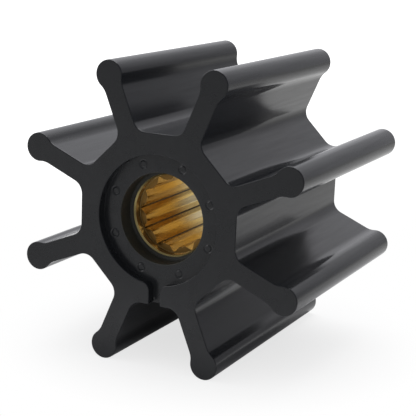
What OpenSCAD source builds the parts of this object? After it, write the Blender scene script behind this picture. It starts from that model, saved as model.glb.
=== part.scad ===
// Flexible pump impeller: a rubber body with straight blades, moulded round a
// splined brass insert. Millimetres, +Z up. The shaft axis lies along Y, the
// channelled end faces -Y, and the part lies on the two blades either side of
// straight down. The origin is on the axis, half way along the body.

/* [Blades] */
// Number of blades round the hub
blade_count = 8; // [7:1:9]
// Diameter over the blade tips
tip_d = 65; // [62:0.5:70]
// Length of the body along the shaft
body_len = 50.8; // [40:0.2:60]
// Thickness of a blade between the hub and its bead
blade_t = 4.1; // [3.2:0.1:4.8]
// Diameter of the sealing bead along a blade's tip
bead_d = 5.8; // [5.4:0.1:6.6]
// Radius that blends a blade into its bead
bead_blend_r = 4; // [2:0.5:6]
// Radius where a blade leaves the hub
root_r = 2.8; // [1.5:0.1:3]

/* [Hub] */
// Distance across the hub's flats, which lie between the blades
hub_flats = 34.2; // [33:0.2:36]
// Diameter of the rubber mouth that leads in to the insert
mouth_d = 18.2; // [17.6:0.1:19.4]
// Diameter of the lip's hole where it meets the insert's end
lip_d = 16.8; // [16.6:0.1:17.2]
// Diameter of the lip's hole at its top
lip_top_d = 17.6; // [17.3:0.1:17.6]
// Thickness of the lip, the rubber that overlaps the insert's end
lip_t = 0.3; // [0.2:0.1:1.2]

/* [End recess] */
// Diameter of the round recess in each end face
recess_d = 25.9; // [24:0.1:27.5]
// Depth of the recess and of its channel
recess_depth = 2; // [1:0.1:3]
// Radius round the edge of the recess's floor
recess_floor_r = 0.2; // [0.1:0.1:0.9]
// Width of the channel from the recess down to the hub's flat
channel_w = 2.5; // [1.5:0.1:3.5]
// Radius where the channel opens into the recess
channel_mouth_r = 1.6; // [0.6:0.1:2]

/* [Ring marks] */
// Where the ring marks lie, as a share of the way from the mouth to the recess's wall
mark_share = 0.56; // [0.45:0.01:0.58]
// Outside diameter of a ring mark on the recess's floor, one to a blade
mark_d = 1.6; // [1.2:0.1:2]
// Width of a ring mark's groove
mark_groove_w = 0.35; // [0.2:0.05:0.5]
// Depth of a ring mark's groove
mark_groove_depth = 0.25; // [0.1:0.05:0.4]

/* [Insert] */
// Outside diameter of the brass insert, inside the rubber
insert_d = 22; // [20:0.5:24]
// Distance from an end face of the body down to the insert's end
insert_setback = 5.8; // [4.5:0.1:8]
// Chamfer round the insert's outside ends
insert_chamfer = 0.8; // [0.3:0.1:1.2]
// Diameter of the round relief at each end of the spline
relief_d = 16.2; // [16.1:0.1:16.5]
// Depth of that relief
relief_depth = 2; // [1:0.1:4]

/* [Spline] */
// Number of splines
spline_count = 12; // [10:1:14]
// Diameter at the bottom of the spline's grooves
spline_major_d = 16; // [15.6:0.05:16]
// Diameter across the crests of the spline's teeth
spline_minor_d = 13.7; // [13.2:0.1:14.2]
// Width of a tooth's crest
crest_w = 1.36; // [1:0.02:1.6]
// Radius along both edges of a crest
crest_edge_r = 0.35; // [0.15:0.05:0.4]
// Width of the flat at the bottom of a groove
groove_floor_w = 0.24; // [0.1:0.02:0.4]

/* [Hidden] */
$fn = 96;

// Cuts pass this far beyond the faces that they open
past = 1;
// A blending arc bites this share of its radius into what it blends, so that
// both meet in one clean edge
bite = 0.0005;

// Blades
blade_pitch = 360 / blade_count;
first_blade = -90 + blade_pitch / 2;
half_t = blade_t / 2;
bead_r = bead_d / 2;
bead_x = tip_d / 2 - bead_r;

// Hub, and the centres of the arcs that blend one blade into it and into its
// bead, for a blade that points along +X
apothem = hub_flats / 2;
flat_dir = [cos(blade_pitch / 2), sin(blade_pitch / 2)];
root_reach = root_r * (1 - bite);
blend_reach = bead_blend_r * (1 - bite);
root_c = [
    (apothem + root_reach - (half_t + root_reach) * flat_dir.y) / flat_dir.x,
    half_t + root_reach
];
blend_c = [
    bead_x - sqrt(pow(bead_r + blend_reach, 2) - pow(half_t + blend_reach, 2)),
    half_t + blend_reach
];

// Recess, and the centre of the arc at one corner of the channel's mouth, for a
// channel that points along +X
recess_r = recess_d / 2;
mark_pitch_r = mouth_d / 2 + mark_share * (recess_r - mouth_d / 2);
corner_reach = channel_mouth_r * (1 - bite);
corner_c = [
    sqrt(pow(recess_r + corner_reach, 2) - pow(channel_w / 2 + corner_reach, 2)),
    channel_w / 2 + corner_reach
];

// Insert and spline
insert_len = body_len - 2 * insert_setback;
rim_chamfer = (lip_d - relief_d) / 2;
spline_pitch = 360 / spline_count;
spline_minor_r = spline_minor_d / 2;
spline_major_r = spline_major_d / 2;

// One side of a groove that points along +X: its corner at the bottom, the
// direction of its flank up to the crest, and the centre of the crest's edge
groove_half_angle = spline_pitch / 2 - asin(crest_w / 2 / spline_minor_r);
groove_top = spline_minor_r * [cos(groove_half_angle), sin(groove_half_angle)];
groove_foot = [spline_major_r, groove_floor_w / 2];
flank_dir = (groove_top - groove_foot) / norm(groove_top - groove_foot);
flank_out = [flank_dir.y, -flank_dir.x];
edge_reach = crest_edge_r * (1 - bite);
edge_start = groove_foot + edge_reach * flank_out;
edge_travel = -edge_start * flank_dir - sqrt(
    pow(edge_start * flank_dir, 2) + pow(spline_minor_r + edge_reach, 2)
    - edge_start * edge_start
);
edge_c = edge_start + edge_travel * flank_dir;

// A point with its Y reversed, for the other side of a blade
function flip(p) = [p.x, -p.y];

// Turns what is drawn along +Z to lie along the shaft, with its top at the front
module along_shaft() rotate([90, 0, 0]) children();

// Puts its child on the front end face and on the rear one
module at_both_ends() {
    for (turn = [0, 180])
        rotate([0, turn, 0]) translate([0, 0, body_len / 2]) children();
}

// Both sides of an outline that is symmetric about X, from one side's points
function both_sides(half) = concat(
    [for (p = half) flip(p)],
    [for (i = [len(half) - 1:-1:0]) half[i]]
);

// One blade, pointing along +X, from the axis to its bead
module blade() {
    half = [
        [0, 0],
        root_c - root_reach * flat_dir,
        root_c,
        [root_c.x, half_t],
        [blend_c.x, half_t],
        blend_c,
        [bead_x, 0]
    ];
    difference() {
        polygon(both_sides(half));
        for (side = [1, -1]) {
            translate([root_c.x, side * root_c.y]) circle(root_r);
            translate([blend_c.x, side * blend_c.y]) circle(bead_blend_r);
        }
    }
    translate([bead_x, 0]) circle(bead_r);
}

// The whole outline: a hub with one flat between each pair of blades
module body_outline() {
    rotate(first_blade) circle(r = apothem / flat_dir.x, $fn = blade_count);
    for (i = [0:blade_count - 1])
        rotate(first_blade + i * blade_pitch) blade();
}

// Half section of the round recess, from the end face down to its rounded floor
module recess_section() {
    translate([0, -recess_depth]) square([recess_r - recess_floor_r, recess_depth + past]);
    translate([0, recess_floor_r - recess_depth])
        square([recess_r, recess_depth - recess_floor_r + past]);
    translate([recess_r - recess_floor_r, recess_floor_r - recess_depth]) circle(recess_floor_r);
}

// Plan of the channel, straight down from the axis, with round corners where it
// leaves the recess
module channel_plan() {
    half = [
        [0, 0],
        corner_c,
        [corner_c.x, channel_w / 2],
        [tip_d / 2, channel_w / 2]
    ];
    rotate(-90)
        difference() {
            polygon(both_sides(half));
            for (side = [1, -1])
                translate([corner_c.x, side * corner_c.y]) circle(channel_mouth_r);
        }
}

// Ring marks on the floor of the recess, one in line with each blade
module ring_marks() {
    for (i = [0:blade_count - 1])
        rotate(first_blade + i * blade_pitch)
            translate([mark_pitch_r, 0, -recess_depth - mark_groove_depth])
                difference() {
                    cylinder(h = mark_groove_depth + past / 2, d = mark_d);
                    translate([0, 0, -past])
                        cylinder(h = 2 * past + mark_groove_depth, d = mark_d - 2 * mark_groove_w);
                }
}

// What both ends lose: the recess, the rubber mouth and the hole in the lip
module end_hollow() {
    rotate_extrude() recess_section();
    translate([0, 0, lip_t - insert_setback]) cylinder(h = insert_setback, d = mouth_d);
    translate([0, 0, -insert_setback]) cylinder(h = lip_t, d1 = lip_d, d2 = lip_top_d);
}

// The space that the insert fills, and the insert's own outside
module insert_form() {
    r = insert_d / 2;
    h = insert_len / 2;
    rotate_extrude()
        polygon([
            [0, -h],
            [r - insert_chamfer, -h],
            [r, insert_chamfer - h],
            [r, h - insert_chamfer],
            [r - insert_chamfer, h],
            [0, h]
        ]);
}

// One groove of the spline, pointing along +X, with the round edges of the
// crests on both its sides
module groove() {
    crest_point = edge_c * spline_minor_r / (spline_minor_r + edge_reach);
    difference() {
        polygon(both_sides([
            crest_point / 2,
            crest_point,
            edge_c,
            edge_c - edge_reach * flank_out,
            groove_foot
        ]));
        for (side = [1, -1])
            translate([edge_c.x, side * edge_c.y]) circle(crest_edge_r);
    }
}

// The spline's bore in plan: a round hole with a groove for each shaft tooth,
// one of them straight down
module spline_plan() {
    circle(spline_minor_r);
    for (i = [0:spline_count - 1])
        rotate(-90 + i * spline_pitch) groove();
}

// Moulded rubber body: hub, blades and beads in one piece
module rubber_body() {
    color("#2d2e30")
        along_shaft() difference() {
            linear_extrude(body_len, center = true) body_outline();
            at_both_ends() end_hollow();
            insert_form();
            translate([0, 0, body_len / 2 - recess_depth])
                linear_extrude(recess_depth + past) channel_plan();
            translate([0, 0, body_len / 2]) ring_marks();
        }
}

// Brass insert: a plain bush outside, splined through its bore
module splined_insert() {
    color("#b58a3a")
        along_shaft() difference() {
            insert_form();
            linear_extrude(insert_len + 2 * past, center = true) spline_plan();
            for (turn = [0, 180])
                rotate([0, turn, 0]) translate([0, 0, insert_len / 2]) {
                    translate([0, 0, -relief_depth])
                        cylinder(h = relief_depth + past, d = relief_d);
                    translate([0, 0, -rim_chamfer])
                        cylinder(h = rim_chamfer, d1 = relief_d, d2 = lip_d);
                }
        }
}

rubber_body();
splined_insert();
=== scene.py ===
"""Looks of a flexible pump impeller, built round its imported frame.

The frame holds two pieces: a moulded rubber body with eight beaded blades, and
the splined brass insert that it is moulded round. Both are drawn again here as
closed skins with rounded edges, inside the frame's own boxes, and dressed in
moulded rubber and machined brass.

Lengths are millimetres and plane points are (X, Z), seen from the front, until
a skin becomes a mesh in metres. The shaft axis is Y, and the front faces -Y.
"""

import logging
import math
from collections.abc import Callable, Sequence
from dataclasses import dataclass, field
from enum import Enum
from functools import partial

import bmesh
import bpy
import numpy as np
from mathutils import Matrix, Vector
from numpy.typing import ArrayLike

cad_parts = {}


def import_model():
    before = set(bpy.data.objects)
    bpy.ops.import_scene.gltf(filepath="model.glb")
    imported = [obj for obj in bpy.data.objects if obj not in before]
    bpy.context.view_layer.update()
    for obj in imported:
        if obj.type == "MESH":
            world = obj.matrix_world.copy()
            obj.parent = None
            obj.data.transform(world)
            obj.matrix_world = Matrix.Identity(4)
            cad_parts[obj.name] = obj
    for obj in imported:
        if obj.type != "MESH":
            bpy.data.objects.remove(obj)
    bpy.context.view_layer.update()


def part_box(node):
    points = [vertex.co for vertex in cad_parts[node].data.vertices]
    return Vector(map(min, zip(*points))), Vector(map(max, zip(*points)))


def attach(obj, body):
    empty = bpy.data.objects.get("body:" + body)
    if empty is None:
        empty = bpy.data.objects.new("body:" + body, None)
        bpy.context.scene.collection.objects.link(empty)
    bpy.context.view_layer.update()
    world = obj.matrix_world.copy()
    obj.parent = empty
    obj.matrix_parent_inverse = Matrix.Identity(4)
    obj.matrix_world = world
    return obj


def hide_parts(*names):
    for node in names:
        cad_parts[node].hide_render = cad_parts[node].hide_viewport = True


LOG = logging.getLogger("impeller")
METRES = 0.001

# Edges that turn by more than this stay sharp, and points closer than this merge
SHARP_EDGE_DEG = 34.0
MERGE_MM = 0.0002

# Nearly all of a noise texture's values lie in this band
NOISE_BAND = {"From Min": 0.3, "From Max": 0.7}

Socket = bpy.types.NodeSocket
Input = Socket | bpy.types.Node
NodeAdder = Callable[..., bpy.types.Node]
Levels = tuple[tuple[float, float], ...]


class End(Enum):
    """An end of the part: the side of the origin that it lies on, along Y."""

    FRONT = -1
    REAR = 1


def linear(colour: str) -> tuple[float, float, float, float]:
    """Turn an sRGB colour into the linear values that Blender works in.

    Args:
        colour: The colour as six hexadecimal digits after a hash sign.

    Returns:
        Red, green, blue and a full alpha, each from 0 to 1.
    """
    parts = [int(colour[i : i + 2], 16) / 255 for i in (1, 3, 5)]
    curved = [((p + 0.055) / 1.055) ** 2.4 if p > 0.04045 else p / 12.92 for p in parts]
    return (*curved, 1.0)


def add_node(
    tree: bpy.types.NodeTree,
    kind: str,
    inputs: dict[str | int, object] | None = None,
    stops: Sequence[tuple[float, float]] = (),
    **settings: object,
) -> bpy.types.Node:
    """Add a node with its settings, values and links.

    Args:
        tree: The node tree that gets the node.
        kind: The node's type name in Blender, less its ShaderNode.
        inputs: A value for each named or numbered input, or what is linked to
            it: an output, or a node for its first output.
        stops: The positions and grey levels of a colour ramp, if it is one.
        **settings: The node's own properties.

    Returns:
        The new node.
    """
    node = tree.nodes.new("ShaderNode" + kind)
    for name, value in settings.items():
        setattr(node, name, value)
    for i, (position, level) in enumerate(stops):
        marks = node.color_ramp.elements
        mark = marks[i] if i < len(marks) else marks.new(1.0)
        mark.position = position
        mark.color = (level, level, level, 1.0)
    for key, value in (inputs or {}).items():
        if isinstance(value, bpy.types.Node):
            value = value.outputs[0]
        if isinstance(value, Socket):
            tree.links.new(value, node.inputs[key])
        else:
            node.inputs[key].default_value = value
    return node


def empty_nodes(owner: bpy.types.Material | bpy.types.World) -> NodeAdder:
    """Give a material or a world an empty node tree.

    Args:
        owner: The material or the world.

    Returns:
        What adds a node to its tree: add_node, with the tree filled in.
    """
    owner.use_nodes = True
    owner.node_tree.nodes.clear()
    return partial(add_node, owner.node_tree)


def scale_of(size_mm: float) -> float:
    """Return the scale that draws a pattern at a size in millimetres."""
    return 1 / (size_mm * METRES)


def level_at(node: NodeAdder, measure: Input, levels: Levels, unit: float) -> Socket:
    """Work out a level that runs straight from stop to stop of a measure.

    Args:
        node: What adds a node to the tree.
        measure: The measure, such as a place along an axis.
        levels: The stops: the measure at each, and the level there.
        unit: How much of the measure one unit of the stops is.

    Returns:
        The level, which stays as it is at the first and last stop beyond them.
    """
    low, high = levels[0][0], levels[-1][0]
    share = node("MapRange", {0: measure, "From Min": low * unit, "From Max": high * unit})
    stops = [((at - low) / (high - low), level) for at, level in levels]
    return node("ValToRGB", {0: share}, stops).outputs["Color"]


def unit_vectors(degrees: np.ndarray) -> np.ndarray:
    """Return the unit vector at each angle, as (cos, sin)."""
    angle = np.radians(degrees)
    return np.stack([np.cos(angle), np.sin(angle)], axis=-1)


@dataclass(frozen=True)
class Curve:
    """A plane curve with the unit normals that point out of the material."""

    points: np.ndarray
    normals: np.ndarray

    @classmethod
    def arc(
        cls,
        centre: Sequence[float],
        radius: float,
        start: float,
        stop: float,
        steps: int,
        hollow: bool,
    ) -> "Curve":
        """Draw an arc: centre plus radius times the unit vector at each angle.

        Args:
            centre: The arc's centre.
            radius: Its radius.
            start: The angle that it starts at, in degrees.
            stop: The angle that it ends at, in degrees.
            steps: How many pieces it is drawn in.
            hollow: Whether the centre lies outside the material.

        Returns:
            The arc, with steps + 1 points.
        """
        out = unit_vectors(np.linspace(start, stop, steps + 1))
        return cls(np.asarray(centre) + radius * out, -out if hollow else out)

    @classmethod
    def line(cls, x: ArrayLike, z: ArrayLike, normal: Sequence[float]) -> "Curve":
        """Draw a straight stretch through points that share an X, a Z or neither."""
        points = np.stack(np.broadcast_arrays(x, z), axis=-1)
        return cls(points, np.broadcast_to(normal, points.shape))

    @classmethod
    def joined(cls, *curves: "Curve") -> "Curve":
        """Join curves end to start.

        Args:
            *curves: The curves, each of which starts where the last one ends.

        Returns:
            One curve, with each shared point in it once.
        """
        first, rest = curves[0], curves[1:]
        return cls(
            np.concatenate([first.points] + [c.points[1:] for c in rest]),
            np.concatenate([first.normals] + [c.normals[1:] for c in rest]),
        )

    def turned(self, degrees: float) -> "Curve":
        """Turn the curve about the axis.

        Args:
            degrees: How far, from X toward Z.

        Returns:
            The turned curve.
        """
        angle = math.radians(degrees)
        turn = np.array([[math.cos(angle), math.sin(angle)], [-math.sin(angle), math.cos(angle)]])
        return Curve(self.points @ turn, self.normals @ turn)

    def mirrored(self, axis: int = 0) -> "Curve":
        """Return the curve mirrored in X, or in Z for axis 1, in the reverse order."""
        flip = np.where(np.arange(2) == axis, -1.0, 1.0)
        return Curve(self.points[::-1] * flip, self.normals[::-1] * flip)

    def span(self, first: int | None, last: int | None, step: int = 1) -> "Curve":
        """Return a stretch of the curve by its points' numbers, as a slice would."""
        return Curve(self.points[first:last:step], self.normals[first:last:step])

    def moved_out(self, distance: float | np.ndarray) -> np.ndarray:
        """Return the points, each moved out of the material along its normal."""
        return self.points + np.asarray(distance)[..., None] * self.normals


def at_depth(points: np.ndarray, y: float | np.ndarray) -> np.ndarray:
    """Place plane points along the shaft.

    Args:
        points: An array of (X, Z) points.
        y: One Y for all of them, or one for each.

    Returns:
        The same points as (X, Y, Z).
    """
    level = np.broadcast_to(np.asarray(y, float), points.shape[:-1])
    return np.stack([points[..., 0], level, points[..., 1]], axis=-1)


def quarter(steps: int) -> tuple[np.ndarray, np.ndarray]:
    """Work out a quarter round of unit radius.

    Args:
        steps: How many pieces it is drawn in.

    Returns:
        1 - cos and 1 - sin of the angles from 0 to 90 degrees: how far the
        round has drawn in, and how far it still is from the face.
    """
    angle = np.linspace(0, np.pi / 2, steps + 1)
    return 1 - np.cos(angle), 1 - np.sin(angle)


def direction(azimuth_deg: float, elevation_deg: float) -> Vector:
    """Work out the direction from the part to what stands round it.

    Args:
        azimuth_deg: The bearing from the front, toward the right.
        elevation_deg: The angle above level.

    Returns:
        The unit vector.
    """
    turn, rise = math.radians(azimuth_deg), math.radians(elevation_deg)
    level = math.cos(rise)
    return Vector((math.sin(turn) * level, -math.cos(turn) * level, math.sin(rise)))


class Skin:
    """A closed skin, gathered from grids and flat faces in millimetres."""

    def __init__(self) -> None:
        """Start with nothing in it."""
        self.points: list[np.ndarray] = []
        self.faces: list[list[int]] = []
        self.finishes: list[Enum] = []
        self.count = 0

    def _add_points(self, points: np.ndarray) -> int:
        """Add points.

        Args:
            points: An array of points, in any number of rows.

        Returns:
            The number of the first one.
        """
        first = self.count
        self.points.append(points.reshape(-1, 3))
        self.count += len(self.points[-1])
        return first

    def add_grid(
        self,
        points: np.ndarray | Sequence[np.ndarray],
        finish: Enum,
        closed: bool = True,
        keep: np.ndarray | None = None,
    ) -> None:
        """Add a grid of four-sided faces.

        Args:
            points: The grid's points, as rows by columns by 3, or its rows.
            finish: The faces' finish.
            closed: Whether the last column joins up with the first.
            keep: Which faces are made, as rows by columns; all when left out.
        """
        points = np.asarray(points)
        rows, columns = points.shape[:2]
        number = np.arange(rows * columns).reshape(rows, columns) + self._add_points(points)
        if closed:
            number = np.concatenate([number, number[:, :1]], axis=1)
        corners = [number[:-1, :-1], number[:-1, 1:], number[1:, 1:], number[1:, :-1]]
        quads = np.stack(corners, axis=-1)
        quads = quads[keep] if keep is not None else quads.reshape(-1, 4)
        self.faces.extend(quads.tolist())
        self.finishes.extend([finish] * len(quads))

    def add_flat(self, loop: np.ndarray, finish: Enum) -> None:
        """Add one flat face.

        Args:
            loop: The points of its border, in order.
            finish: Its finish.
        """
        first = self._add_points(loop)
        self.faces.append(list(range(first, first + len(loop))))
        self.finishes.append(finish)

    def to_object(self, name: str, finishes: type[Enum]) -> bpy.types.Object:
        """Make the skin one mesh, merged, facing outwards and smooth.

        Args:
            name: The object's name.
            finishes: The finishes that its faces are among.

        Returns:
            The object, linked to the scene, with its place in its mesh.
        """
        mesh = bpy.data.meshes.new(name)
        mesh.from_pydata(np.concatenate(self.points) * METRES, [], self.faces)
        for finish in finishes:
            mesh.materials.append(finish.value.material())
        numbers = {finish: i for i, finish in enumerate(finishes)}
        mesh.polygons.foreach_set("material_index", [numbers[f] for f in self.finishes])
        work = bmesh.new()
        work.from_mesh(mesh)
        bmesh.ops.remove_doubles(work, verts=work.verts, dist=MERGE_MM * METRES)
        bmesh.ops.recalc_face_normals(work, faces=work.faces)
        open_edges = sum(1 for edge in work.edges if not edge.is_manifold)
        work.to_mesh(mesh)
        work.free()
        mesh.shade_smooth()
        mesh.set_sharp_from_angle(angle=math.radians(SHARP_EDGE_DEG))
        piece = bpy.data.objects.new(name, mesh)
        bpy.context.scene.collection.objects.link(piece)
        weighted = piece.modifiers.new("even_shading", "WEIGHTED_NORMAL")
        weighted.keep_sharp = True
        LOG.info("%s: %d faces, %d open edges", name, len(mesh.polygons), open_edges)
        return piece


@dataclass(frozen=True)
class MouldedRubber:
    """Nitrile rubber as it leaves a steel mould: near black, with a waxy satin.

    Its bloom is the colour where wax has come to the surface. Its streaks move
    the roughness, and the strength of the reflections, each way by a spread.
    """

    name: str
    colour: str
    bloom: str
    roughness: float
    streak_mm: float
    streak_length_mm: float
    roughness_spread: float = 0.03
    sheen_spread: float = 0.03
    grain_mm: float = 0.3
    grain_depth_mm: float = 0.006

    IOR = 1.5
    SHEEN = 0.5
    CLOUD_MM = 25 / 3

    def material(self) -> bpy.types.Material:
        """Build the material.

        Streaks along the shaft follow the mould's draw and vary the gloss and
        the sheen, a faint bloom clouds the black, and a fine grain breaks the
        highlights.

        Returns:
            The finished material.
        """
        material = bpy.data.materials.new(self.name)
        node = empty_nodes(material)
        place = node("TexCoord").outputs["Object"]
        across, along = scale_of(self.streak_mm), scale_of(self.streak_length_mm)
        drawn = node("Mapping", {"Vector": place, "Scale": (across, along, across)})
        streaks = node(
            "TexNoise", {"Vector": drawn, "Scale": 1.0, "Detail": 3.0, "Roughness": 0.6}
        )
        spreads = ((self.roughness, self.roughness_spread), (self.SHEEN, -self.sheen_spread))
        gloss, sheen = (
            node("MapRange", {0: streaks, **NOISE_BAND, "To Min": mid - by, "To Max": mid + by})
            for mid, by in spreads
        )
        clouds = node(
            "TexNoise",
            {"Vector": place, "Scale": scale_of(self.CLOUD_MM), "Detail": 4.0, "Roughness": 0.55},
        )
        clean, waxy = linear(self.colour), linear(self.bloom)
        colour = node("Mix", {"Factor": clouds, 6: clean, 7: waxy}, data_type="RGBA")
        grain = node("TexNoise", {0: place, "Scale": scale_of(self.grain_mm), "Detail": 2.0})
        bump = node("Bump", {"Height": grain, "Distance": self.grain_depth_mm * METRES})
        shader = node(
            "BsdfPrincipled",
            {
                "Base Color": colour.outputs[2],
                "Roughness": gloss,
                "Specular IOR Level": sheen,
                "Normal": bump,
                "IOR": self.IOR,
            },
        )
        node("OutputMaterial", {"Surface": shader})
        return material


@dataclass(frozen=True)
class MachinedBrass:
    """Leaded brass with its tool marks: golden, pale where a highlight is painted, and brown
    where shade and tarnish are painted.

    Its colour changes from inner to outer between two distances from the axis,
    and its bare share shines as metal. At stops of Y in millimetres, a share of
    a pale colour paints a highlight over it.
    """

    name: str
    inner: str
    outer: str
    change_from_mm: float
    change_to_mm: float
    roughness: float
    bare: float
    line_depth_mm: float
    line_mm: float = 0.14
    turned: bool = True
    # The pale colour of a painted highlight, and its share at stops of Y
    highlight_colour: str = "#fff2c4"
    highlight_share: Levels = ((-1.0, 0.0), (1.0, 0.0))

    LINE_STRETCH = 60.0
    SMOOTHER = 0.03
    ROUGHER = 0.04

    def material(self) -> bpy.types.Material:
        """Build the material.

        The lines run round the axis where the brass was turned, and along the
        shaft where it was broached.

        Returns:
            The finished material.
        """
        material = bpy.data.materials.new(self.name)
        node = empty_nodes(material)
        place = node("TexCoord").outputs["Object"]
        x, y, z = node("SeparateXYZ", {0: place}).outputs
        flat = node("CombineXYZ", {0: x, 1: z})
        radius = node("VectorMath", {0: flat}, operation="LENGTH").outputs["Value"]
        fine = scale_of(self.line_mm)
        lines, along = place, fine / self.LINE_STRETCH
        if self.turned:
            lines, along = node("CombineXYZ", {0: radius, 1: y}), fine
        drawn = node("Mapping", {"Vector": lines, "Scale": (fine, along, fine)})
        marks = node("TexNoise", {"Vector": drawn, "Scale": 1.0, "Detail": 2.0, "Roughness": 0.6})
        bump = node("Bump", {"Height": marks, "Distance": self.line_depth_mm * METRES})
        # Toward outer, from change_from_mm out: in the broach's grooves this is painted shade,
        # with some tarnish
        ends = {"From Min": self.change_from_mm * METRES, "From Max": self.change_to_mm * METRES}
        change = node("MapRange", {0: radius, **ends}, interpolation_type="SMOOTHSTEP")
        # Painted highlight: the share of the pale colour at each Y
        highlight_share = level_at(node, y, self.highlight_share, METRES)
        inner, highlight_colour, outer = (linear(hue) for hue in (self.inner, self.highlight_colour, self.outer))
        bright = node("Mix", {"Factor": highlight_share, 6: inner, 7: highlight_colour}, data_type="RGBA").outputs[2]
        colour = node("Mix", {"Factor": change, 6: bright, 7: outer}, data_type="RGBA")
        smooth, rough = self.roughness - self.SMOOTHER, self.roughness + self.ROUGHER
        gloss = node("MapRange", {0: marks, **NOISE_BAND, "To Min": smooth, "To Max": rough})
        shader = node(
            "BsdfPrincipled",
            {
                "Base Color": colour.outputs[2],
                "Metallic": self.bare,
                "Roughness": gloss,
                "Normal": bump,
            },
        )
        node("OutputMaterial", {"Surface": shader})
        return material


class RubberFinish(Enum):
    """The finishes that the mould gives the rubber."""

    # Polished mould walls give the blades and flats a satin that mirrors softly. The
    # polish leaves streaks under 0.1 mm wide and a grain finer still: both are drawn
    # some ten times as coarse, so that they show
    SATIN = MouldedRubber(
        name="moulded_rubber_satin",
        colour="#0a0d12",
        bloom="#101318",
        roughness=0.19,
        sheen_spread=0.08,
        streak_mm=0.9,
        streak_length_mm=18.0,
        grain_mm=0.25,
        grain_depth_mm=0.0005,
    )

    # The mould's ground end plates leave the end faces dull and even, with a grain
    # that is drawn at 0.3 mm so that it shows
    DULL = MouldedRubber(
        name="moulded_rubber_dull",
        colour="#17181b",
        bloom="#1b1d1f",
        roughness=0.26,
        streak_mm=3.0,
        streak_length_mm=3.0,
    )

    # Inside the mouth the core pin left the rubber flat and sooty, with that grain
    FLAT = MouldedRubber(
        name="moulded_rubber_flat",
        colour="#25251f",
        bloom="#2d2d27",
        roughness=0.6,
        streak_mm=1.0,
        streak_length_mm=1.0,
    )


class BrassFinish(Enum):
    """The finishes that the tools give the brass."""

    # The broach leaves the teeth smooth and golden. Their colour is painted dark right
    # in the grooves' bottoms, as shade with some tarnish, and painted pale toward the
    # rear, as a highlight. The broach's marks are about 0.1 mm wide, and are drawn
    # coarser so that they show
    BROACHED = MachinedBrass(
        name="broached_brass",
        inner="#b2872f",
        # Painted shade, with some tarnish, in the grooves' bottoms
        outer="#32220f",
        change_from_mm=7.88,
        change_to_mm=8.0,
        roughness=0.2,
        bare=0.92,
        line_mm=0.8,
        line_depth_mm=0.0001,
        turned=False,
        # Painted highlight, paling the teeth toward the rear
        highlight_share=(
            (-18.0, 0.16), (-16.0, 0.15), (-14.0, 0.08), (-12.0, 0.02),
            (-10.0, 0.0), (-7.0, 0.0), (-4.0, 0.15), (-2.0, 0.33), (2.0, 0.62),
            (5.0, 0.65), (12.0, 1.0),
        ),
    )

    # The lathe left the teeth's ends olive and dull, with faint rings, one to each
    # 0.14 mm of feed
    FACED = MachinedBrass(
        name="faced_brass",
        inner="#846437",
        outer="#785c30",
        change_from_mm=7.0,
        change_to_mm=8.0,
        roughness=0.2,
        bare=1.0,
        line_depth_mm=0.001,
    )

    # It left the relief and the rim much the same pale gold, with deeper rings
    TURNED = MachinedBrass(
        name="turned_brass",
        inner="#b09868",
        outer="#a89864",
        change_from_mm=8.1,
        change_to_mm=8.2,
        roughness=0.25,
        bare=0.9,
        line_depth_mm=0.004,
    )


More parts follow.
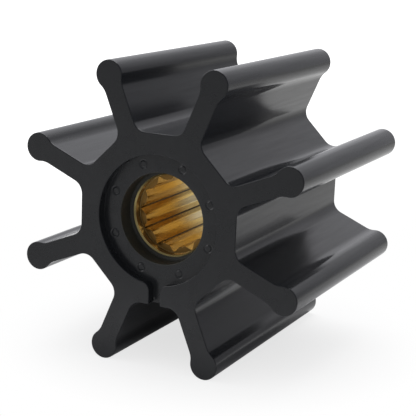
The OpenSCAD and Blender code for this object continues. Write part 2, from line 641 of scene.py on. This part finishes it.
@dataclass
class RubberBody:
    """The moulded rubber: hub, beaded blades, end recesses and channel.

    Its plane outline is made of lines and arcs that meet without a corner, and
    its edges are small quarter rounds, as they leave the mould.
    """

    length: float
    tip_r: float
    blade_count: int = 8
    blade_t: float = 4.1
    bead_r: float = 2.9
    blend_r: float = 4.0
    root_r: float = 2.8
    flat_distance: float = 17.1
    recess_r: float = 12.95
    recess_depth: float = 2.0
    recess_floor_r: float = 0.03
    channel_half: float = 1.25
    channel_mouth_r: float = 1.6
    notch_r: float = 0.3
    mouth_r: float = 9.1
    lip_top_r: float = 8.8
    lip_r: float = 8.4
    lip_t: float = 0.3
    lip_bevel: float = 0.14
    lip_soft: float = 0.05
    insert_r: float = 11.0
    insert_setback: float = 5.8
    insert_chamfer: float = 0.8
    mark_circle_r: float = 11.26
    mark_r: float = 1.0
    mark_groove_w: float = 0.5
    mark_groove_depth: float = 0.11
    edge_r: float = 0.15
    edge_land: float = 0.06
    node: str = "rubber_body"
    skin: Skin = field(default_factory=Skin, init=False)

    ROOT_STEPS = 10
    FLAT_STEPS = 2
    BLEND_STEPS = 8
    BEAD_STEPS = 36
    CHANNEL_STEPS = 6
    CHANNEL_WALL_STEPS = 3
    CORNER_STEPS = 8
    BESIDE_STEPS = 4
    MARK_STEPS = 40
    MARK_RINGS = 30
    MARK_MARGIN = 0.1
    EDGE_STEPS = 4
    FOOT_STEPS = 6
    SIDE_STEPS = 6

    @property
    def pitch(self) -> float:
        """The angle from blade to blade, in degrees."""
        return 360 / self.blade_count

    @property
    def notch_half(self) -> float:
        """Half of the channel's width where its corners have opened out, at the hub's flat."""
        return self.channel_half + self.notch_r

    @property
    def root_centre(self) -> tuple[float, float]:
        """The centre of a root arc, beside a blade that points along X."""
        half = math.radians(self.pitch / 2)
        side = self.blade_t / 2 + self.root_r
        along = (self.flat_distance + self.root_r - side * math.sin(half)) / math.cos(half)
        return along, side

    @property
    def root_angle(self) -> float:
        """The angle between a blade's middle and the end of its root arc, in degrees."""
        return math.degrees(math.atan2(self.blade_t / 2, self.root_centre[0]))

    @property
    def channel_angle(self) -> float:
        """The angle from straight down to where the channel meets the recess, in degrees."""
        centre_x = self.channel_half + self.channel_mouth_r
        return math.degrees(math.asin(centre_x / (self.recess_r + self.channel_mouth_r)))

    def valley(self) -> Curve:
        """Draw a valley that points along X: a root arc, the hub's flat and a root arc.

        Returns:
            The valley, with points on its flat for the channel's columns.
        """
        half = math.radians(self.pitch / 2)
        along, side = self.root_centre
        centre = self.flat_distance + self.root_r
        reach = side * math.cos(half) - along * math.sin(half)
        contact = 90 + self.pitch / 2
        low = Curve.arc((centre, reach), self.root_r, -contact, -180, self.ROOT_STEPS, True)
        high = Curve.arc((centre, -reach), self.root_r, 180, contact, self.ROOT_STEPS, True)
        notch = self.notch_half
        across = np.concatenate(
            [
                np.linspace(reach, -notch, self.FLAT_STEPS + 1),
                np.linspace(-notch, notch, self.CHANNEL_STEPS + 1)[1:],
                np.linspace(notch, -reach, self.FLAT_STEPS + 1)[1:],
            ]
        )
        return Curve.joined(low, Curve.line(self.flat_distance, across, (1, 0)), high)

    def blade(self) -> Curve:
        """Draw a blade that points along X: side, blend, bead, blend and side.

        Returns:
            The blade, from the end of one root arc to the start of the next.
        """
        half_t = self.blade_t / 2
        bead_x = self.tip_r - self.bead_r
        reach = half_t + self.blend_r
        blend_x = bead_x - math.sqrt((self.bead_r + self.blend_r) ** 2 - reach**2)
        lean = math.degrees(math.atan2(reach, bead_x - blend_x))
        root_x = self.root_centre[0]
        return Curve.joined(
            Curve.line([root_x, blend_x], -half_t, (0, -1)),
            Curve.arc((blend_x, -reach), self.blend_r, 90, lean, self.BLEND_STEPS, True),
            Curve.arc((bead_x, 0), self.bead_r, lean - 180, 180 - lean, self.BEAD_STEPS, False),
            Curve.arc((blend_x, reach), self.blend_r, -lean, -90, self.BLEND_STEPS, True),
            Curve.line([blend_x, root_x], half_t, (0, 1)),
        )

    def outline(self) -> Curve:
        """Draw the whole outline, a valley and a blade to each pitch.

        Returns:
            The outline, from the middle of the channel's notch round to it again.
        """
        sector = Curve.joined(self.valley(), self.blade().turned(self.pitch / 2))
        turns = [i * self.pitch - 90 for i in range(self.blade_count)]
        whole = Curve.joined(*(sector.turned(turn) for turn in turns)).span(0, -1)
        middle = self.ROOT_STEPS + self.FLAT_STEPS + self.CHANNEL_STEPS // 2
        return Curve(*(np.roll(part, -middle, axis=0) for part in (whole.points, whole.normals)))

    def channel_wall(self) -> Curve:
        """Draw the channel's right wall, with an arc at each end of it.

        Returns:
            The wall, from the hub's flat up to the recess's wall.
        """
        low = -self.flat_distance
        centre_x = self.channel_half + self.channel_mouth_r
        centre_z = -math.sqrt((self.recess_r + self.channel_mouth_r) ** 2 - centre_x**2)
        centre = (centre_x, centre_z)
        notch = (self.notch_half, low + self.notch_r)
        corner = Curve.arc(notch, self.notch_r, -90, -180, self.EDGE_STEPS, False)
        rise = np.linspace(low + self.notch_r, centre_z, self.CHANNEL_WALL_STEPS + 1)
        wall = Curve.line(self.channel_half, rise, (-1, 0))
        meeting = math.degrees(math.atan2(-centre_z, -centre_x))
        mouth = Curve.arc(centre, self.channel_mouth_r, 180, meeting, self.CORNER_STEPS, False)
        return Curve.joined(corner, wall, mouth)

    def recess_angles(self) -> tuple[np.ndarray, np.ndarray]:
        """Work out the angles of the columns round the axis, in degrees.

        Each valley's columns line up with the points of its outline, and those
        in line with a blade are close together, to draw the ring marks.

        Returns:
            The angles across the channel's mouth, and those of the rest of the
            circle, which start and end with the mouth's own ends.
        """
        half = self.pitch / 2
        valley = self.valley().points
        fan = np.degrees(np.arctan2(valley[:, 1], valley[:, 0]))
        marks = half + np.linspace(-self.root_angle, self.root_angle, self.MARK_STEPS + 1)
        edge = self.channel_angle
        mouth = np.linspace(-edge, edge, self.CHANNEL_STEPS + 1) - 90
        beside = np.linspace(edge, half - self.root_angle, self.BESIDE_STEPS + 1)
        rest = [beside, marks[1:]]
        for i in range(1, self.blade_count):
            rest += [i * self.pitch + fan[1:], i * self.pitch + marks[1:]]
        rest += [360 - beside[::-1][1:]]
        return mouth, np.concatenate(rest) - 90

    def columns(self) -> np.ndarray:
        """Return the unit vectors of every column round the axis, in order."""
        mouth, rest = self.recess_angles()
        return unit_vectors(np.concatenate([mouth, rest[1:-1]]))

    def add_edge(self, border: Curve, end: End, closed: bool = True) -> np.ndarray:
        """Add a quarter round from the walls below a border up to the end face.

        The round's rows are the border moved in by r (1 - cos), at r (1 - sin)
        below the face. One more row, just inside, keeps the face's shading flat.

        Args:
            border: The face's border, before its edge is rounded.
            end: The end that the face is at.
            closed: Whether the border closes on itself.

        Returns:
            The last row, which the flat face starts from.
        """
        inward, below = quarter(self.EDGE_STEPS)
        face = self.length / 2
        rows = [
            at_depth(border.moved_out(-self.edge_r * i), end.value * (face - self.edge_r * b))
            for i, b in zip(inward, below)
        ]
        self.skin.add_grid(rows, RubberFinish.SATIN, closed)
        last = at_depth(border.moved_out(-self.edge_r - self.edge_land), end.value * face)
        self.skin.add_grid([rows[-1], last], RubberFinish.DULL, closed)
        return last

    def add_recess_wall(
        self, wall: Curve, foot_r: float | np.ndarray, end: End, closed: bool = True
    ) -> None:
        """Add the wall of a recess, from below its edge down to the round at its foot.

        The foot's rows are the wall moved out by r (1 - cos), at r (1 - sin)
        above the floor.

        Args:
            wall: The wall in plan.
            foot_r: The foot's radius, for all of the wall or for each point.
            end: The end that the recess is at.
            closed: Whether the wall closes on itself.
        """
        face = self.length / 2
        floor = face - self.recess_depth
        outward, above = quarter(self.FOOT_STEPS)
        rows = [
            at_depth(wall.points, end.value * (face - self.edge_r)),
            at_depth(wall.points, end.value * (face - self.edge_r - self.edge_land)),
        ]
        rows += [
            at_depth(wall.moved_out(foot_r * o), end.value * (floor + foot_r * a))
            for o, a in zip(outward, above)
        ]
        self.skin.add_grid(rows, RubberFinish.DULL, closed)

    def floor_relief(self, points: np.ndarray) -> np.ndarray:
        """Work out how deep the ring marks lie below the recess's floor.

        Each mark is a ring of cosine section, (1 + cos) / 2 over its groove.

        Args:
            points: The floor's points in the plane.

        Returns:
            The depth of the floor's relief at each point.
        """
        turns = np.arange(self.blade_count) * self.pitch - 90 + self.pitch / 2
        centres = self.mark_circle_r * unit_vectors(turns)
        apart = np.linalg.norm(points[..., None, :] - centres, axis=-1).min(axis=-1)
        half = self.mark_groove_w / 2
        off = np.clip(np.abs(apart - (self.mark_r - half)) / half, 0, 1)
        return self.mark_groove_depth * (1 + np.cos(np.pi * off)) / 2

    def add_recess_floor(self, end: End) -> None:
        """Add a recess's round floor: rings from the mouth's edge to the wall's foot.

        The front one carries the ring marks, and its rings lie close together
        across them.

        Args:
            end: The end that the recess is at.
        """
        radii = np.array([self.mouth_r + self.edge_r, self.recess_r - self.recess_floor_r])
        marked = end is End.FRONT
        if marked:
            middle, reach = self.mark_circle_r, self.mark_r + self.MARK_MARGIN
            dense = np.linspace(middle - reach, middle + reach, self.MARK_RINGS + 1)
            radii = np.concatenate([radii[:1], dense, radii[1:]])
        points = radii[:, None, None] * self.columns()
        floor = self.length / 2 - self.recess_depth
        depth = self.floor_relief(points) if marked else np.zeros(points.shape[:2])
        self.skin.add_grid(at_depth(points, end.value * (floor - depth)), RubberFinish.DULL)

    def add_front(self) -> None:
        """Add the front end: its face, its recess with the ring marks, and the channel.

        The channel's floor is a grid from wall to wall, whose rows bend from
        straight at the hub's flat to an arc at the recess, by the square of
        the share of the way.
        """
        outline = self.outline()
        start = self.CHANNEL_STEPS // 2
        outer = outline.span(start, len(outline.points) - start + 1)
        side = self.channel_wall()
        mouth, rest = self.recess_angles()
        spokes = unit_vectors(rest)
        wall = Curve.joined(side, Curve(self.recess_r * spokes, -spokes), side.mirrored())
        border = Curve.joined(outer, wall.span(None, None, -1)).span(0, -1)
        self.skin.add_flat(self.add_edge(border, End.FRONT), RubberFinish.DULL)

        # The foot's radius grows up the channel's walls, from nothing at the notch
        climb = len(side.points)
        growth = (np.arange(climb) - self.EDGE_STEPS) / self.CHANNEL_WALL_STEPS
        foot_r = np.full(len(wall.points), self.recess_floor_r)
        foot_r[:climb] *= np.clip(growth, 0, 1)
        foot_r[-climb:] = foot_r[climb - 1 :: -1]
        self.add_recess_wall(wall, foot_r, End.FRONT, closed=False)

        right = wall.moved_out(foot_r)[:climb]
        left = right * np.array([-1.0, 1.0])
        share = np.linspace(0, 1, self.CHANNEL_STEPS + 1)[:, None]
        straight = left[:, None] + share * (right - left)[:, None]
        arc = (self.recess_r - self.recess_floor_r) * unit_vectors(mouth)
        bend = np.linspace(0, 1, climb)[:, None, None] ** 2
        floor = self.recess_depth - self.length / 2
        channel = at_depth(straight + bend * (arc - straight[-1]), floor)
        self.skin.add_grid(channel, RubberFinish.DULL, closed=False)
        self.add_recess_floor(End.FRONT)

    def add_rear(self) -> None:
        """Add the rear end: its face, in two halves, and its plain recess."""
        outline = self.outline()
        columns = self.columns()
        wall = Curve(self.recess_r * columns, -columns)
        outer = self.add_edge(outline, End.REAR)
        inner = self.add_edge(wall, End.REAR)

        # The halves meet at the points straight down and straight up
        across = len(outline.points) // 2
        low = self.CHANNEL_STEPS // 2
        high = int(np.argmin(np.abs(columns[:, 0]) + (columns[:, 1] < 0)))
        right = [outer[: across + 1], inner[low : high + 1][::-1]]
        left = [outer[across:], outer[:1], inner[: low + 1][::-1], inner[high:][::-1]]
        for half in (right, left):
            self.skin.add_flat(np.concatenate(half), RubberFinish.DULL)
        self.add_recess_wall(wall, self.recess_floor_r, End.REAR)
        self.add_recess_floor(End.REAR)

    def half_profile(self) -> np.ndarray:
        """Draw one end's mouth, its lip, and half of the space of the insert.

        The lip is a step with a bevelled edge: it catches a thin line of light
        between the dark wall of the mouth and the brass.

        Returns:
            Points of radius and depth below the end face.
        """
        inward, below = quarter(self.EDGE_STEPS)
        rounded = np.stack(
            [self.mouth_r + self.edge_r * below, self.recess_depth + self.edge_r * inward], axis=1
        )
        end = self.insert_setback
        lip, top = end - self.lip_t, self.lip_top_r
        soft, bevel = self.lip_soft, self.lip_bevel
        corners = np.array(
            [
                [self.mouth_r, lip - soft],
                [self.mouth_r - soft, lip],
                [top + soft, lip],
                [top, lip + soft / 2],
                [top - bevel, lip + bevel],
                [top - bevel - soft, end - soft],
                [self.lip_r, end],
                [self.insert_r - self.insert_chamfer, end],
                [self.insert_r, end + self.insert_chamfer],
                [self.insert_r, self.length / 2],
            ]
        )
        return np.concatenate([rounded, corners])

    def add_core(self) -> None:
        """Add what turns round the axis: mouths, lips and the space of the insert.

        Each point of the half profile goes round the axis at its own radius.
        """
        profile = self.half_profile()
        points = profile[:, 0, None, None] * self.columns()
        level = (self.length / 2 - profile[:, 1])[:, None]
        for end in End:
            self.skin.add_grid(at_depth(points, end.value * level), RubberFinish.FLAT)

    def add_sides(self) -> None:
        """Add the walls along the shaft: the outline carried from edge to edge."""
        outline = self.outline()
        first = -self.length / 2 + self.edge_r
        floor = -self.length / 2 + self.recess_depth
        levels = np.concatenate(
            [
                [first, first + self.edge_land],
                np.linspace(floor, -first - self.edge_land, self.SIDE_STEPS + 1),
                [-first],
            ]
        )
        points = at_depth(np.tile(outline.points, (len(levels), 1, 1)), levels[:, None])

        # The channel's notch takes the rows in front of its floor
        keep = np.ones((len(levels) - 1, len(outline.points)), bool)
        half = self.CHANNEL_STEPS // 2
        keep[:2, :half] = False
        keep[:2, -half:] = False
        self.skin.add_grid(points, RubberFinish.SATIN, keep=keep)

    def build(self) -> bpy.types.Object:
        """Build the body, which stands for its node in the frame.

        Returns:
            The finished piece, riding on the root body.
        """
        self.add_front()
        self.add_sides()
        self.add_core()
        self.add_rear()
        piece = self.skin.to_object("moulded_body", RubberFinish)
        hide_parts(self.node)
        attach(piece, "root")
        return piece


@dataclass
class SplinedInsert:
    """The machined brass insert: a bush, broached with splines between turned reliefs."""

    length: float
    outer_r: float
    chamfer: float = 0.8
    rim_r: float = 8.4
    rim_facet: float = 0.1
    rim_step: float = 0.02
    relief_r: float = 8.1
    relief_depth: float = 2.0
    relief_foot_r: float = 0.05
    spline_count: int = 12
    major_r: float = 8.0
    minor_r: float = 6.85
    crest_w: float = 1.36
    crest_edge_r: float = 0.6
    groove_floor_w: float = 0.14
    burr_r: float = 0.03
    node: str = "splined_insert"

    FLANK_STEPS = 3
    CREST_EDGE_STEPS = 7
    CREST_STEPS = 3
    BURR_STEPS = 3
    BORE_STEPS = 8

    # How far a foot of unit radius stays from its corner, half way round
    FOOT_CUT = 0.3

    def groove(self) -> Curve:
        """Draw half a crest, a groove that points along X, and half a crest.

        A flank runs from the groove's foot at right angles to its normal, and
        an arc of the crest's edge radius touches both it and the crest.

        Returns:
            The curve, with normals that point at the bore.
        """
        pitch = 2 * math.pi / self.spline_count
        opening = pitch / 2 - math.asin(self.crest_w / 2 / self.minor_r)
        top = self.minor_r * np.array([math.cos(opening), math.sin(opening)])
        foot = np.array([self.major_r, self.groove_floor_w / 2])
        along = (top - foot) / np.linalg.norm(top - foot)
        out = np.array([along[1], -along[0]])
        start = foot + self.crest_edge_r * out
        travel = -start @ along - math.sqrt(
            (start @ along) ** 2 + (self.minor_r + self.crest_edge_r) ** 2 - start @ start
        )
        centre = start + travel * along
        lean = math.degrees(math.atan2(-out[1], -out[0]))
        crest = math.degrees(math.atan2(centre[1], centre[0]))
        touch = crest + math.copysign(180, lean)
        middle = math.degrees(pitch / 2)
        edge = Curve.arc(centre, self.crest_edge_r, lean, touch, self.CREST_EDGE_STEPS, False)
        land = Curve.arc((0, 0), self.minor_r, crest, middle, self.CREST_STEPS, True)
        floor = Curve.line(self.major_r, [0, foot[1]], (-1, 0))
        flank = Curve.line(*np.linspace(foot, edge.points[0], self.FLANK_STEPS + 1).T, -out)
        upper = Curve.joined(floor, flank, edge, land)
        return Curve.joined(upper.mirrored(axis=1), upper)

    def section(self) -> Curve:
        """Draw the splined bore's whole section, with one groove straight down."""
        turns = [i * 360 / self.spline_count - 90 for i in range(self.spline_count)]
        return Curve.joined(*(self.groove().turned(turn) for turn in turns)).span(0, -1)

    def build(self) -> bpy.types.Object:
        """Build the insert, which stands for its node in the frame.

        Its rings run along the bore, over one end, back outside and over the
        other end, each with a point at every angle of the bore's section.

        Returns:
            The finished piece, riding on the root body.
        """
        section = self.section()
        spokes = section.points / np.linalg.norm(section.points, axis=1)[:, None]
        half = self.length / 2
        shelf = half - self.relief_depth
        rim = self.rim_r - self.relief_r
        foot, cut = self.relief_foot_r, self.relief_foot_r * self.FOOT_CUT
        facet, step = self.rim_facet, self.rim_step

        inward, below = quarter(self.BURR_STEPS)
        burr = [
            at_depth(section.moved_out(-self.burr_r * i), shelf - self.burr_r * b)
            for i, b in zip(inward, below)
        ]
        along = np.linspace(-1, 1, self.BORE_STEPS + 1) * (shelf - self.burr_r)
        bore = [at_depth(section.points, y) for y in along[1:-1]]
        profile = [
            (self.relief_r - foot, shelf),
            (self.relief_r - cut, shelf + cut),
            (self.relief_r, shelf + foot),
            (self.relief_r, half - rim),
            (self.relief_r + facet, half - rim + facet),
            (self.rim_r - facet - step, half - facet - step),
            (self.rim_r - step, half - step),
            (self.rim_r, half),
            (self.outer_r - self.chamfer, half),
            (self.outer_r, half - self.chamfer),
        ]
        over = [at_depth(r * spokes, y) for r, y in profile]
        flip = np.array([1.0, -1.0, 1.0])
        skin = Skin()
        inside = [r * flip for r in burr[::-1]] + bore + burr
        skin.add_grid(inside, BrassFinish.BROACHED)
        for side in (flip, np.ones(3)):
            skin.add_grid(np.stack([burr[-1], over[0]]) * side, BrassFinish.FACED)
            skin.add_grid(np.stack(over) * side, BrassFinish.TURNED)
        skin.add_grid([over[-1], over[-1] * flip], BrassFinish.TURNED)
        piece = skin.to_object("brass_insert", BrassFinish)
        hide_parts(self.node)
        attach(piece, "root")
        return piece


@dataclass(frozen=True)
class Camera:
    """The photograph's viewpoint: turned to the right of the front, a little above it."""

    azimuth_deg: float = 26.59
    elevation_deg: float = 13.46
    roll_deg: float = 2.25
    distance: float = 260.5
    target: tuple[float, float, float] = (-1.1, -1.1, -2.3)
    clip_start: float = 10.0
    lens_mm: float = 106.86
    sensor_mm: float = 36.0

    def build(self) -> bpy.types.Object:
        """Place the camera and make it the scene's own.

        Returns:
            The camera.
        """
        toward = direction(self.azimuth_deg, self.elevation_deg)
        data = bpy.data.cameras.new("camera")
        data.sensor_fit = "HORIZONTAL"
        data.sensor_width = self.sensor_mm
        data.lens = self.lens_mm
        data.clip_start = self.clip_start * METRES
        camera = bpy.data.objects.new("camera", data)
        camera.rotation_mode = "QUATERNION"
        aim = (-toward).to_track_quat("-Z", "Y").to_matrix().to_4x4()
        roll = Matrix.Rotation(math.radians(self.roll_deg), 4, "Z")
        place = Matrix.Translation((Vector(self.target) + toward * self.distance) * METRES)
        camera.matrix_world = place @ aim @ roll
        bpy.context.scene.collection.objects.link(camera)
        bpy.context.scene.camera = camera
        return camera


@dataclass(frozen=True)
class Softbox:
    """A square soft lamp that faces the part."""

    name: str
    azimuth_deg: float
    elevation_deg: float
    distance: float
    size: float
    watts: float

    def build(self) -> None:
        """Place the lamp, aimed at the origin."""
        toward = direction(self.azimuth_deg, self.elevation_deg)
        data = bpy.data.lights.new(self.name, "AREA")
        data.shape = "SQUARE"
        data.size = self.size * METRES
        data.energy = self.watts
        lamp = bpy.data.objects.new(self.name, data)
        lamp.location = toward * self.distance * METRES
        lamp.rotation_mode = "QUATERNION"
        lamp.rotation_quaternion = (-toward).to_track_quat("-Z", "Y")
        bpy.context.scene.collection.objects.link(lamp)


@dataclass(frozen=True)
class Studio:
    """A white sweep, a pale world and soft lamps from above.

    The camera sees white. Reflections see levels, as panels round a set give:
    the floor's level by X times that by Y, in millimetres, and the sky's by the
    bearing, in degrees from the rear toward the right. Near the part both see
    the lit paper, which carries the shadow, and the camera sees near_glow of
    white over it. From shadow_from to shadow_to from the origin, it fades out.
    """

    floor_size: float = 3000.0
    floor_colour: str = "#f2f2f2"
    floor_across: Levels = (
        (-150.0, 1.4), (5.0, 1.0), (20.0, 0.93), (50.0, 0.82), (70.0, 0.75),
        (90.0, 0.68), (112.0, 0.68), (150.0, 0.55), (190.0, 0.5), (600.0, 0.54),
    )
    floor_along: Levels = (
        (-600.0, 0.27), (-350.0, 0.33), (-275.0, 0.36), (-175.0, 0.42),
        (-125.0, 0.49), (-87.0, 0.42), (-75.0, 0.31), (-40.0, 0.55), (0.0, 0.62),
        (45.0, 0.7), (75.0, 1.0),
    )
    shadow_from: float = 20.0
    shadow_to: float = 115.0
    near_glow: float = 0.68
    white: str = "#ffffff"
    sky: str = "#fafaff"
    sky_strength: float = 0.55
    sky_levels: Levels = (
        (-180.0, 0.25), (-150.0, 0.28), (-90.0, 0.8), (-32.0, 0.8), (-22.0, 0.88),
        (-16.0, 0.92), (-10.0, 0.9), (-5.0, 0.72), (5.0, 0.74), (15.0, 0.68),
        (23.0, 0.61), (26.0, 0.47), (30.0, 0.34), (60.0, 0.29), (120.0, 0.4),
        (180.0, 0.3),
    )
    lamps: tuple[Softbox, ...] = (
        Softbox("overhead", 200.0, 68.0, 700.0, 600.0, 4.0),
        Softbox("left_fill", -60.0, 30.0, 800.0, 500.0, 1.5),
    )

    def paper(self) -> bpy.types.Material:
        """Build the floor's material: paper that glows to the camera and in reflections.

        The glow's share is 0 for other rays, so that it lights nothing.

        Returns:
            The finished material.
        """
        material = bpy.data.materials.new("white_sweep")
        node = empty_nodes(material)
        paper = node("BsdfDiffuse", {"Color": linear(self.floor_colour)})
        rays = node("LightPath").outputs
        camera = rays["Is Camera Ray"]
        place = node("TexCoord").outputs["Object"]
        x, y, _ = node("SeparateXYZ", {0: place}).outputs
        across = level_at(node, x, self.floor_across, METRES)
        along = level_at(node, y, self.floor_along, METRES)
        both = node("Math", {0: across, 1: along}, operation="MULTIPLY")
        level = node("Math", {0: camera, 1: both}, operation="MAXIMUM")
        glow = node("Emission", {"Color": linear(self.white), "Strength": level})
        apart = node("VectorMath", {0: place}, operation="LENGTH").outputs["Value"]
        ends = {"From Min": self.shadow_from * METRES, "From Max": self.shadow_to * METRES}
        away = node("MapRange", {0: apart, **ends}, interpolation_type="SMOOTHSTEP")
        lift = node("Math", {0: camera, 1: self.near_glow, 2: away}, operation="MULTIPLY_ADD")
        seen = node("Math", {0: camera, 1: rays["Is Glossy Ray"]}, operation="MAXIMUM")
        share = node("Math", {0: seen, 1: lift}, operation="MULTIPLY", use_clamp=True)
        mixed = node("MixShader", {0: share, 1: paper, 2: glow})
        node("OutputMaterial", {"Surface": mixed})
        return material

    def add_floor(self, height: float) -> None:
        """Lay the floor under the part.

        Args:
            height: The height that it lies at.
        """
        half = self.floor_size / 2 * METRES
        z = height * METRES
        corners = [(-half, -half, z), (half, -half, z), (half, half, z), (-half, half, z)]
        mesh = bpy.data.meshes.new("floor")
        mesh.from_pydata(corners, [], [(0, 1, 2, 3)])
        mesh.materials.append(self.paper())
        floor = bpy.data.objects.new("floor", mesh)
        bpy.context.scene.collection.objects.link(floor)

    def add_world(self) -> None:
        """Light the part from a dim world that the camera sees as white.

        Reflections see the level at their bearing, which is arctan2 of X and Y.
        """
        world = bpy.data.worlds.new("studio")
        node = empty_nodes(world)
        rays = node("LightPath").outputs
        camera = rays["Is Camera Ray"]
        seen = camera
        for kind in ("Is Glossy Ray", "Is Transmission Ray"):
            seen = node("Math", {0: seen, 1: rays[kind]}, operation="MAXIMUM")
        x, y, _ = node("SeparateXYZ", {0: node("TexCoord").outputs["Generated"]}).outputs
        bearing = node("Math", {0: x, 1: y}, operation="ARCTAN2")
        level = level_at(node, bearing, self.sky_levels, math.radians(1))
        bright = node("Math", {0: camera, 1: level}, operation="MAXIMUM")
        strength = node("Mix", {0: seen, 2: self.sky_strength, 3: bright}, data_type="FLOAT")
        pale, white = linear(self.sky), linear(self.white)
        tint = node("Mix", {"Factor": camera, 6: pale, 7: white}, data_type="RGBA")
        sky = node("Background", {"Color": tint.outputs[2], "Strength": strength})
        node("OutputWorld", {"Surface": sky})
        bpy.context.scene.world = world

    def build(self, floor_level: float) -> None:
        """Build the floor, the world and the lamps.

        Args:
            floor_level: The height that the part rests at.
        """
        self.add_floor(floor_level)
        self.add_world()
        for lamp in self.lamps:
            lamp.build()


def main() -> None:
    """Build the part's pieces, sized from both boxes, and the studio round them."""
    logging.basicConfig(level=logging.INFO, format="%(name)s: %(message)s")
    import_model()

    body_low, body_high = (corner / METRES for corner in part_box("rubber_body"))
    insert_low, insert_high = (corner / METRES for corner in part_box("splined_insert"))
    half_pitch = math.radians(360 / RubberBody.blade_count / 2)
    bead_x = (body_high.x - RubberBody.bead_r) / math.cos(half_pitch)
    body = RubberBody(length=body_high.y - body_low.y, tip_r=bead_x + RubberBody.bead_r)
    insert = SplinedInsert(length=insert_high.y - insert_low.y, outer_r=insert_high.x)
    for part in (body, insert):
        piece = part.build()
        LOG.info("%s stands for %s", piece.name, part.node)

    Studio().build(floor_level=body_low.z)
    Camera().build()
    bpy.context.scene.view_settings.view_transform = "Standard"

    bpy.context.view_layer.update()


if __name__ == "__main__":
    main()
